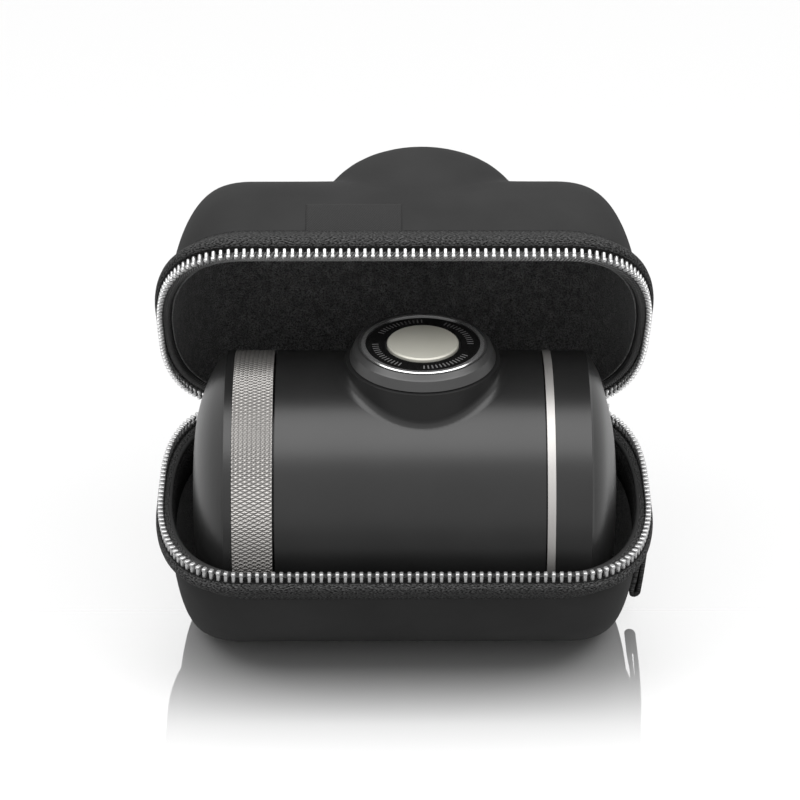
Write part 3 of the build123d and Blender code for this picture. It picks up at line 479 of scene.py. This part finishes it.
def make_tape_weave(name, ribbed, band_painted_light, deep_painted_shade):
    """Coarse broken weave with painted shade in the groove under the teeth; the inner band has
    painted light that fades to painted shade deeper in, and a ribbed band also gets painted shade
    towards the ends of the case.
    """
    finish = Finish(name, Specular_IOR_Level=0.12)
    tree, flat = finish.tree, finish.place.outputs["UV"]
    ribs = finish.effect(WEAVE, "UV", Thread=0.45, Wander=0.08)
    slant = tree.nodes.new("ShaderNodeMapping")
    slant.inputs["Rotation"].default_value = (0, 0, 0.9)
    slant.inputs["Scale"].default_value = (1.0, 2.2, 1.0)
    tree.links.new(flat, slant.inputs["Vector"])
    speckle = spread(tree, noise_field(tree, slant.outputs[0], 1.5, 1.5, 0.6), 0.36, 0.64)
    across = parts_of(tree, flat)[1]
    inside = spread(tree, across, INNER_BAND - BAND_BLEND, INNER_BAND + BAND_BLEND)
    shade = tree.nodes.new("ShaderNodeMix")
    for value, socket in ((maths(tree, "MULTIPLY", inside, ribbed), "Factor"), (speckle, "A"),
                          (ribs["Shade"], "B")):
        tree.links.new(value, shade.inputs[socket])
    # painted shade on a ribbed band towards the ends of the case, where its sides face away from
    # the light
    sideways = maths(tree, "ABSOLUTE", parts_of(tree, finish.place.outputs["Object"])[0])
    ends = spread(tree, sideways, *PAINTED_SHADE_ENDS, 0.0, ribbed)
    band = maths(tree, "MULTIPLY", spread(tree, across, *BAND_PAINTED_SHADE, band_painted_light, deep_painted_shade),
                 spread(tree, ends, 0, 1, 1.0, END_PAINTED_SHADE))
    # painted shade in the groove that the teeth stand in
    groove = maths(tree, "COMPARE", across, *GROOVE)
    # lightness of the tape, with the band's painted light and shade and the groove's painted shade
    light = maths(tree, "MULTIPLY", spread(tree, inside, 0, 1, OUTER_LIGHT, band),
                  spread(tree, groove, 0, 1, 1.0, GROOVE_PAINTED_SHADE))
    finish.colour(maths(tree, "MULTIPLY", shade.outputs["Result"], light), grey(0.006), grey(1.0))
    finish.rough(shade.outputs["Result"], 0.9, 0.7)
    finish.bump(shade.outputs["Result"], 0.00025)
    return finish.material


def make_label_weave():
    finish = Finish("Label weave", Specular_IOR_Level=0.12)
    weave = finish.effect(WEAVE, "UV", Thread=0.3, Wander=0.03)
    finish.colour(weave["Shade"], grey(0.019), grey(0.05))
    finish.rough(weave["Height"], 0.8, 0.6)
    finish.bump(weave["Height"], 0.00006)
    return finish.material


knob_gloss = make_knob_gloss()
knurl_steel = make_knurl_steel()
shell_knit = make_shell_knit()
fleece = make_fleece()
# one tape with a painted-light copy: the lid's inner band gets painted light, as it is lit from the
# front, and the base's grows darker deeper in as painted shade
base_tape_weave = make_tape_weave("Zip tape weave", 0.0, 0.1, 0.05)
lid_tape_weave = make_tape_weave("Zip tape weave with painted light on the ribs", 1.0, 0.8, 0.8)
label_weave = make_label_weave()

NODE_FINISH = {
    body_coat: ("main_body", "protective_cap", "tank_lid"),
    inner_plastic: ("pump_cylinder", "gland_ring", "piston"),
    satin_steel: ("tank_band", "shower_screen", "screen_screw", "flange_screw_1",
                  "flange_screw_2", "flange_screw_3", "return_spring", "knob_screw",
                  "filter_basket", "portafilter_ring"),
    knob_metal: ("knob_cap",), bezel_metal: ("knob_bezel",), knob_gloss: ("knob_inlay",),
    knob_silver: ("knob_disc",),
    seal_rubber: ("brew_gasket", "inlet_valve", "outlet_valve", "piston_seal", "cap_seal",
                  "tank_gasket", "vent_valve"),
    zip_metal: ("zip_slider", "zip_pull"),
}
for finish_material, names in NODE_FINISH.items():
    for node_name in names:
        slots = nodes[node_name].data.materials
        slots.clear()
        slots.append(finish_material)


# ======================================================================== case shells
def case_shells():
    for half, body, name, node, press in (
            (BASE, "case_base", "base_shell_face", "base_shell", FOOT_PRESS),
            (LID, "case_lid", "lid_shell_face", "lid_shell", 0.0)):
        bm = case_half(half, 0, SHELL, press)
        if half is LID:
            open_lid(bm)
        piece = finish_piece(bm, name, body, shell_knit, [node])


def brushed(bm):
    """Presses the lining outwards here and there, as a brushed pile lies."""
    waves, deepest = BRUSH
    for vert in bm.verts:
        swell = noise.noise(vert.co * waves)
        out = Vector((vert.co.x * 0.5, vert.co.y, vert.co.z - RIM_Z)).normalized()
        vert.co += out * deepest * abs(swell)


def case_linings():
    for half, body, name, node in ((BASE, "case_base", "base_fleece", "base_lining"),
                                   (LID, "case_lid", "lid_fleece", "lid_lining")):
        bm = case_half(half, SHELL + GLUE + LINING_LOFT, SHELL + GLUE + LINING,
                       trim=LINING_TRIM[half])
        brushed(bm)
        if half is LID:
            open_lid(bm)
        piece = finish_piece(bm, name, body, fleece, [node])


# ======================================================================== zip
# side is 1 for the base and -1 for the lid, the way that the half's teeth point
# (outwards from the tooth line, height from the closing plane into the half)
TAPE_OUTSIDE = [(-3.3, 8.2), (-2.4, 7.0), (-1.6, 6.2), (-0.8, 5.5), (-0.1, 4.8), (0.35, 4.1),
                (0.55, 3.4), (0.6, 2.9), (0.52, 2.45), (0.32, 2.15), (0.17, 2.1), (0.15, 1.3),
                (-1.4, 1.3)]
# the base's inner band falls away into the lining, the lid's turns over flat
TAPE_INSIDE = {
    1: [(-1.6, 0.9), (-2.1, 0.75), (-2.65, 0.8), (-3.2, 1.1), (-3.7, 1.6), (-4.15, 2.4),
        (-4.5, 3.5), (-4.75, 5.0), (-4.85, 7.0), (-4.85, 9.0), (-4.4, 9.4), (-4.1, 7.6)],
    -1: [(-1.5, 0.75), (-1.9, 0.4), (-2.3, 0.2), (-2.65, 0.12), (-3.1, 0.1), (-3.5, 0.14),
         (-3.9, 0.28), (-4.25, 0.55), (-4.5, 1.0), (-4.62, 1.7), (-4.66, 3.0), (-4.66, 6.0),
         (-4.4, 6.4), (-4.1, 5.8)]}
SHELL_STEP = 2.65      # mean distance from the tooth line in to the shell
# inner band beyond that: share of the profile along the case's length and its depth
TAPE_INNER = {1: (0.78, 0.8), -1: (0.4, 1.55)}
TAPE_TIGHTEN = {1: 0.0, -1: 1.5}       # and how much tighter the corners grow there


def tape_ring(out, height, side):
    """Ring of the tape; inwards of the tooth line it follows the shell's narrower outline."""
    share, extra = min(max(-out / SHELL_STEP, 0), 1), max(-out - SHELL_STEP, 0)
    grow_x, grow_y = (max(out, 0) - share * band - extra * inner
                      for band, inner in zip(BAND, TAPE_INNER[side]))
    corner_x, corner_y = (size - extra * TAPE_TIGHTEN[side] for size in CORNER)
    return (CHAIN[0] + grow_x, CHAIN[1] + grow_y, corner_x, corner_y, RIM_Z - side * height)


def zip_tapes():
    for side, body, name, node, weave in (
            (1, "case_base", "base_tape_roll", "base_tape", base_tape_weave),
            (-1, "case_lid", "lid_tape_roll", "lid_tape", lid_tape_weave)):
        profile = TAPE_OUTSIDE + TAPE_INSIDE[side] + TAPE_OUTSIDE[:1]
        bm = sweep_round([tape_ring(out, height, side) for out, height in profile])
        close_up(bm)
        if side < 0:
            open_lid(bm)
        piece = finish_piece(bm, name, body, weave, [node])


TOOTH_SPACING = 1.95           # the pitch is fitted from it, so that the chain closes evenly
TOOTH_PITCH = CHAIN_AT[-1] / round(CHAIN_AT[-1] / TOOTH_SPACING)
TOOTH = (0.8, 1.1, 3.0)        # along the chain, outwards, upwards
TOOTH_HEAD = (1.0, 1.5, 0.95)
TOOTH_ROUND, HEAD_ROUND = 0.16, 0.28
TOOTH_TOP = 3.6
TOOTH_IN = 0.62                # middle of a tooth, inside the tooth line
TOOTH_LOW = -2.4               # foot of a tooth, from the closing plane
TANGENT_STEP = 0.05            # of a station
CHAIN_END_X = 48.0             # the chain stops here on the back


def tooth_mesh():
    """One zip tooth: a bar that clamps the tape, with a wider head at its upper end."""
    bm = bmesh.new()
    for size, low, round_off, steps in ((TOOTH, 0, TOOTH_ROUND, 1),
                                        (TOOTH_HEAD, TOOTH_TOP - TOOTH_HEAD[2], HEAD_ROUND, 2)):
        made = bmesh.ops.create_cube(bm, size=1)["verts"]
        bmesh.ops.scale(bm, vec=size, verts=made)
        bmesh.ops.translate(bm, vec=(0, -TOOTH_IN, low + size[2] / 2), verts=made)
        edges = {edge for vert in made for edge in vert.link_edges}
        bmesh.ops.bevel(bm, geom=list(edges), offset=round_off, offset_type="OFFSET",
                        segments=steps, profile=0.5, affect="EDGES", material=-1)
    mesh = bpy.data.meshes.new("one tooth")
    bm.to_mesh(mesh)
    bm.free()
    return mesh


def chain_spots(first):
    """Station, point and tangent of each tooth, first mm past the middle of the front."""
    spots, distance, station = [], first, 0
    while distance < CHAIN_AT[-1] - 0.01:
        while CHAIN_AT[station + 1] < distance:
            station += 1
        part = (distance - CHAIN_AT[station]) / (CHAIN_AT[station + 1] - CHAIN_AT[station])
        here = Vector(outline_point(station + part, *CHAIN_FORM))
        ahead = Vector(outline_point(station + part + TANGENT_STEP, *CHAIN_FORM))
        if here.y < 0 or abs(here.x) > CHAIN_END_X:
            spots.append((here, (ahead - here).normalized()))
        distance += TOOTH_PITCH
    return spots


def zip_teeth():
    one = tooth_mesh()
    for side, body, name, node in ((1, "case_base", "base_tooth_row", "base_teeth"),
                                   (-1, "case_lid", "lid_tooth_row", "lid_teeth")):
        bm = bmesh.new()
        for here, run in chain_spots(TOOTH_PITCH / 2 if side > 0 else 0):
            bm.verts.ensure_lookup_table()
            before = len(bm.verts)
            bm.from_mesh(one)
            bm.verts.ensure_lookup_table()
            made = bm.verts[before:]
            turn = Matrix(((run.x, run.y, 0), (run.y, -run.x, 0), (0, 0, side)))
            bmesh.ops.transform(bm, matrix=turn.to_4x4(), verts=made)
            bmesh.ops.translate(bm, vec=(here.x, here.y, RIM_Z + side * TOOTH_LOW), verts=made)
        bmesh.ops.recalc_face_normals(bm, faces=bm.faces)
        if side < 0:
            open_lid(bm)
        finish_piece(bm, name, body, zip_metal, [node])
    bpy.data.meshes.remove(one)


# ======================================================================== hinge, label, loop
HINGE_HALF = 40.0
HINGE_PATH = [(43.35, 32.6), (43.75, 34.2), (43.85, 35.7), (43.65, 37.2), (43.05, 38.6),
              (42.5, 39.5), (42.35, 39.86)]
HINGE_CLOTH = 0.7
HINGE_WEAVE = 1.4              # cloth between two rows of the path


def cloth_strip(path, point, half_width, segments, thickness, weave):
    """Strip along a path of pairs, with a UV map that counts weave mm from row to row.

    point turns the distance across the strip and a pair of the path into x, y and z."""
    last = len(path) - 1
    bm = bmesh.new()
    bmesh.ops.create_grid(bm, x_segments=segments, y_segments=last, size=1)
    uv = bm.loops.layers.uv.new("UVMap")
    for face in bm.faces:
        for corner in face.loops:
            row = (corner.vert.co.y + 1) / 2 * last
            corner[uv].uv = (corner.vert.co.x * half_width, row * weave - PLAIN_WEAVE)
    for vert in bm.verts:
        row = round((vert.co.y + 1) / 2 * last)
        vert.co = point(vert.co.x * half_width, *path[row])
    bmesh.ops.recalc_face_normals(bm, faces=bm.faces)
    bmesh.ops.solidify(bm, geom=bm.faces[:], thickness=thickness)
    bmesh.ops.recalc_face_normals(bm, faces=bm.faces)
    return bm


def hinge_cloth():
    """Cloth strip outside the back of the rims, bent about the hinge line."""
    lid_turn = Matrix.Rotation(-LID_OPEN, 3, "X")

    def opened(y, z):
        """Point of the closed lid, mirrored from the base and turned to its rest pose."""
        return HINGE + lid_turn @ (Vector((0, y, 2 * HINGE.z - z)) - HINGE)

    path = HINGE_PATH + [tuple(opened(y, z).yz) for y, z in reversed(HINGE_PATH[:-1])]
    bm = cloth_strip(path, lambda across, y, z: (across, y, z), HINGE_HALF, 80, HINGE_CLOTH,
                     HINGE_WEAVE)
    piece = finish_piece(bm, "hinge_cloth", None, base_tape_weave,
                         ["base_hinge_leaf", "lid_hinge_leaf"])
    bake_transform(piece)


LABEL_X = (-24.3, -0.7)
LABEL_Z = (7.2, 18.8)          # above the maker's axis, with the lid closed
LABEL_THICKNESS = 0.35
LABEL_GRID = (48, 24)
LABEL_WEAVE = (12, 6)          # half size of its weave
LABEL_EDGE = (0.45, 14.0)      # share of the thickness at the very edge, and how fast it grows
LABEL_BURIED = 0.1             # the label's back lies this deep in the shell


def lid_front(height, proud):
    """Depth coordinate of the closed lid's front face at a height above the closing plane."""
    _, depth, _, power = LID
    share = (1 - (height / depth) ** power) ** (1 / power)
    return -(CHAIN[1] - BAND[1]) * share - proud


def woven_label():
    bm = bmesh.new()
    bmesh.ops.create_grid(bm, x_segments=LABEL_GRID[0], y_segments=LABEL_GRID[1], size=1)
    uv = bm.loops.layers.uv.new("UVMap")
    for face in bm.faces:
        for corner in face.loops:
            corner[uv].uv = [at * half for at, half in zip(corner.vert.co.xy, LABEL_WEAVE)]
    for vert in bm.verts:
        across, up = vert.co.x, vert.co.y
        x = LABEL_X[0] + (across + 1) / 2 * (LABEL_X[1] - LABEL_X[0])
        z = AXIS_Z + LABEL_Z[0] + (up + 1) / 2 * (LABEL_Z[1] - LABEL_Z[0])
        edge = min(1 - abs(across), (1 - abs(up)) * (LABEL_WEAVE[1] / LABEL_WEAVE[0]))
        proud = LABEL_THICKNESS * min(1, LABEL_EDGE[0] + edge * LABEL_EDGE[1])
        vert.co = (x, lid_front(z - RIM_Z, proud), z)
    bmesh.ops.recalc_face_normals(bm, faces=bm.faces)
    if sum((face.normal.y for face in bm.faces)) > 0:
        bmesh.ops.reverse_faces(bm, faces=bm.faces)
    rim = [edge for edge in bm.edges if edge.is_boundary]
    skirt = bmesh.ops.extrude_edge_only(bm, edges=rim)["geom"]
    fresh = [item for item in skirt if isinstance(item, bmesh.types.BMVert)]
    bmesh.ops.translate(bm, vec=(0, LABEL_THICKNESS + LABEL_BURIED, 0), verts=fresh)
    open_lid(bm)
    piece = finish_piece(bm, "woven_label", "case_lid", label_weave, ["label_patch"])


LOOP_Y = 5.0
LOOP_STRAP = 1.05
LOOP_X = (60.2, 62.4)          # inner and outer face at the top
LOOP_Z = (8.2, 33.4)
LOOP_FOLD = 1.45               # radius of the round fold at the lower end
LOOP_LEAN = 2.3                # the lower end hangs in towards the shell
LOOP_STEPS = 12                # from the top down to the fold
LOOP_TURN = 20                 # degrees between two rows of the fold
LOOP_WEAVE = 2.0606            # cloth between two rows of the path


def webbing_loop():
    """Folded webbing tab at the right end: two layers with a round fold at the bottom."""
    middle, low = sum(LOOP_X) / 2, LOOP_Z[0] + LOOP_FOLD
    shares = [step / LOOP_STEPS for step in range(LOOP_STEPS + 1)]
    half = LOOP_X[1] - middle
    layer = [(half + (LOOP_FOLD - half) * share**3, low + (LOOP_Z[1] - low) * (1 - share))
             for share in shares]
    path = [(middle + out, z) for out, z in layer]
    path += [(middle + LOOP_FOLD * cos(radians(turn)), low - LOOP_FOLD * sin(radians(turn)))
             for turn in range(LOOP_TURN, 180, LOOP_TURN)]
    path += [(middle - out, z) for out, z in reversed(layer)]
    reach = LOOP_Z[1] - LOOP_Z[0]
    path = [(x - LOOP_LEAN * ((LOOP_Z[1] - z) / reach) ** 2, z) for x, z in path]
    bm = cloth_strip(path, lambda across, x, z: (x, across, z), LOOP_Y, 12, LOOP_STRAP,
                     LOOP_WEAVE)
    piece = finish_piece(bm, "webbing_loop", "case_base", base_tape_weave,
                         ["carry_loop"])


# ======================================================================== maker details
KNURL_X = (-42.45, -32.65)
KNURL_COLUMNS, KNURL_ROWS = 9, 210
KNURL_R, KNURL_PEAK = 35.31, 0.24
KNURL_STEPS = 4        # grid steps to half a diamond
KNURL_CUT = 1.35       # more cuts the diamonds' tips off wider
KNURL_ROOT = 35.15     # radius of the sleeve's edges, sunk into the ring


def knurl_sleeve():
    """Rows of truncated diamonds round the ring, sunk into the ring at both ends."""
    across, around = KNURL_COLUMNS * KNURL_STEPS, KNURL_ROWS * KNURL_STEPS
    bm = bmesh.new()
    crest = bm.verts.layers.float.new("crest")
    bmesh.ops.create_grid(bm, x_segments=across, y_segments=around, size=1)
    for vert in bm.verts:
        column = (vert.co.x + 1) / 2 * KNURL_COLUMNS
        row = (vert.co.y + 1) * KNURL_ROWS
        ridge = min(1 - 2 * abs(s - round(s)) for s in ((column + row) / 2, (column - row) / 2))
        lift = min(ridge * KNURL_CUT, 1.0)
        # the lift is kept as the crest attribute, which paints shade into the valleys of the
        # knurled steel
        vert[crest] = lift
        radius = KNURL_R + KNURL_PEAK * lift
        turn = pi * (vert.co.y + 1)
        x = KNURL_X[0] + (KNURL_X[1] - KNURL_X[0]) * (vert.co.x + 1) / 2
        vert.co = (x, radius * sin(turn), AXIS_Z + radius * cos(turn))
    bmesh.ops.remove_doubles(bm, verts=bm.verts, dist=0.001)
    rim = [edge for edge in bm.edges if edge.is_boundary]
    made = bmesh.ops.extrude_edge_only(bm, edges=rim)["geom"]
    fresh = [item for item in made if isinstance(item, bmesh.types.BMVert)]
    axis = Vector((0, AXIS_Z))
    for vert in fresh:
        vert.co.yz = axis + (vert.co.yz - axis).normalized() * KNURL_ROOT
    bmesh.ops.recalc_face_normals(bm, faces=bm.faces)
    finish_piece(bm, "knurl_sleeve", "filter_holder", knurl_steel, smooth=False)


case_shells()
case_linings()
zip_tapes()
zip_teeth()
hinge_cloth()
woven_label()
webbing_loop()
knurl_sleeve()


# ======================================================================== stage, in metres
FLOOR_SEEN, FLOOR_LIT = 0.93, 0.25     # grey of the floor to the camera and to other rays
MIRROR_FROM, MIRROR_TO = -0.084, 0.005         # the floor turns glossy towards the back
MIRROR_SHARE, MIRROR_ROUGH = 0.74, 0.03
FRONT_SHARE, FILL = (0.2, 0.95), (0.33, 0.9)   # the world's light grows towards the front


def make_floor():
    """Pale floor that turns glossy towards the back."""
    mesh = bpy.data.meshes.new("floor")
    bm = bmesh.new()
    bmesh.ops.create_grid(bm, x_segments=1, y_segments=1, size=6)
    bm.to_mesh(mesh)
    bm.free()
    floor = bpy.data.objects.new("floor", mesh)
    bpy.context.scene.collection.objects.link(floor)
    material = bpy.data.materials.new("Pale floor")
    material.use_nodes = True
    tree = material.node_tree
    surface = tree.nodes["Principled BSDF"]
    surface.inputs["Roughness"].default_value = 0.6
    rays = tree.nodes.new("ShaderNodeLightPath")
    pale = spread(tree, rays.outputs["Is Camera Ray"], 0, 1, FLOOR_LIT, FLOOR_SEEN)
    tree.links.new(pale, surface.inputs["Base Color"])
    place = tree.nodes.new("ShaderNodeTexCoord")
    depth = parts_of(tree, place.outputs["Object"])[1]
    mirror = spread(tree, depth, MIRROR_FROM, MIRROR_TO, 0.0, MIRROR_SHARE, smooth=True)
    polish = tree.nodes.new("ShaderNodeBsdfGlossy")
    polish.inputs["Color"].default_value = (1, 1, 1, 1)
    polish.inputs["Roughness"].default_value = MIRROR_ROUGH
    mix = tree.nodes.new("ShaderNodeMixShader")
    tree.links.new(mirror, mix.inputs["Fac"])
    tree.links.new(surface.outputs[0], mix.inputs[1])
    tree.links.new(polish.outputs[0], mix.inputs[2])
    tree.links.new(mix.outputs[0], tree.nodes["Material Output"].inputs["Surface"])
    mesh.materials.append(material)


def make_world():
    """White where it is seen or reflected, and a softer fill as a light."""
    world = bpy.data.worlds.new("studio")
    bpy.context.scene.world = world
    world.use_nodes = True
    tree = world.node_tree
    back = tree.nodes["Background"]
    back.inputs["Color"].default_value = (1, 1, 1, 1)
    rays = tree.nodes.new("ShaderNodeLightPath")
    seen = maths(tree, "MAXIMUM", rays.outputs["Is Camera Ray"], rays.outputs["Is Glossy Ray"])
    seen = maths(tree, "MAXIMUM", seen, rays.outputs["Is Transmission Ray"])
    place = tree.nodes.new("ShaderNodeTexCoord")
    front = maths(tree, "MULTIPLY", parts_of(tree, place.outputs["Generated"])[1], -1.0)
    fill = spread(tree, front, *FRONT_SHARE, *FILL)
    tree.links.new(spread(tree, seen, 0, 1, fill, 1.0), back.inputs["Strength"])


def soft_box(name, place, aim, size, radiance):
    lamp = bpy.data.lights.new(name, "AREA")
    lamp.shape = "RECTANGLE"
    lamp.size, lamp.size_y = size
    lamp.energy = radiance * pi * size[0] * size[1]
    holder = bpy.data.objects.new(name, lamp)
    holder.location = place
    holder.rotation_euler = (Vector(aim) - Vector(place)).to_track_quat("-Z", "Y").to_euler()
    bpy.context.scene.collection.objects.link(holder)


def make_camera():
    """Three quarter view from the front and above, on a long lens."""
    down, distance, yaw, roll = radians(29.74), 0.886, -0.0077, 0.0025
    aim = Vector((-0.00112, 0.01133, 0.05722))
    place = aim + distance * Vector((0, -cos(down), sin(down)))
    about = Vector((0, 0, AXIS_Z * MM))
    turn = Matrix.Rotation(yaw, 3, "Z")
    aim, place = about + turn @ (aim - about), about + turn @ (place - about)
    data = bpy.data.cameras.new("camera")
    data.lens, data.sensor_width = 157.05, 36
    camera = bpy.data.objects.new("camera", data)
    camera.location = place
    look = (aim - place).to_track_quat("-Z", "Y").to_matrix()
    camera.rotation_euler = (look @ Matrix.Rotation(roll, 3, "Z")).to_euler()
    bpy.context.scene.collection.objects.link(camera)
    bpy.context.scene.camera = camera


make_floor()
make_world()
soft_box("overhead box", place=(0, -0.24, 1.04), aim=(0, -0.24, 0), size=(2.4, 0.76),
         radiance=3.2)
make_camera()
bpy.context.scene.view_settings.view_transform = "Standard"
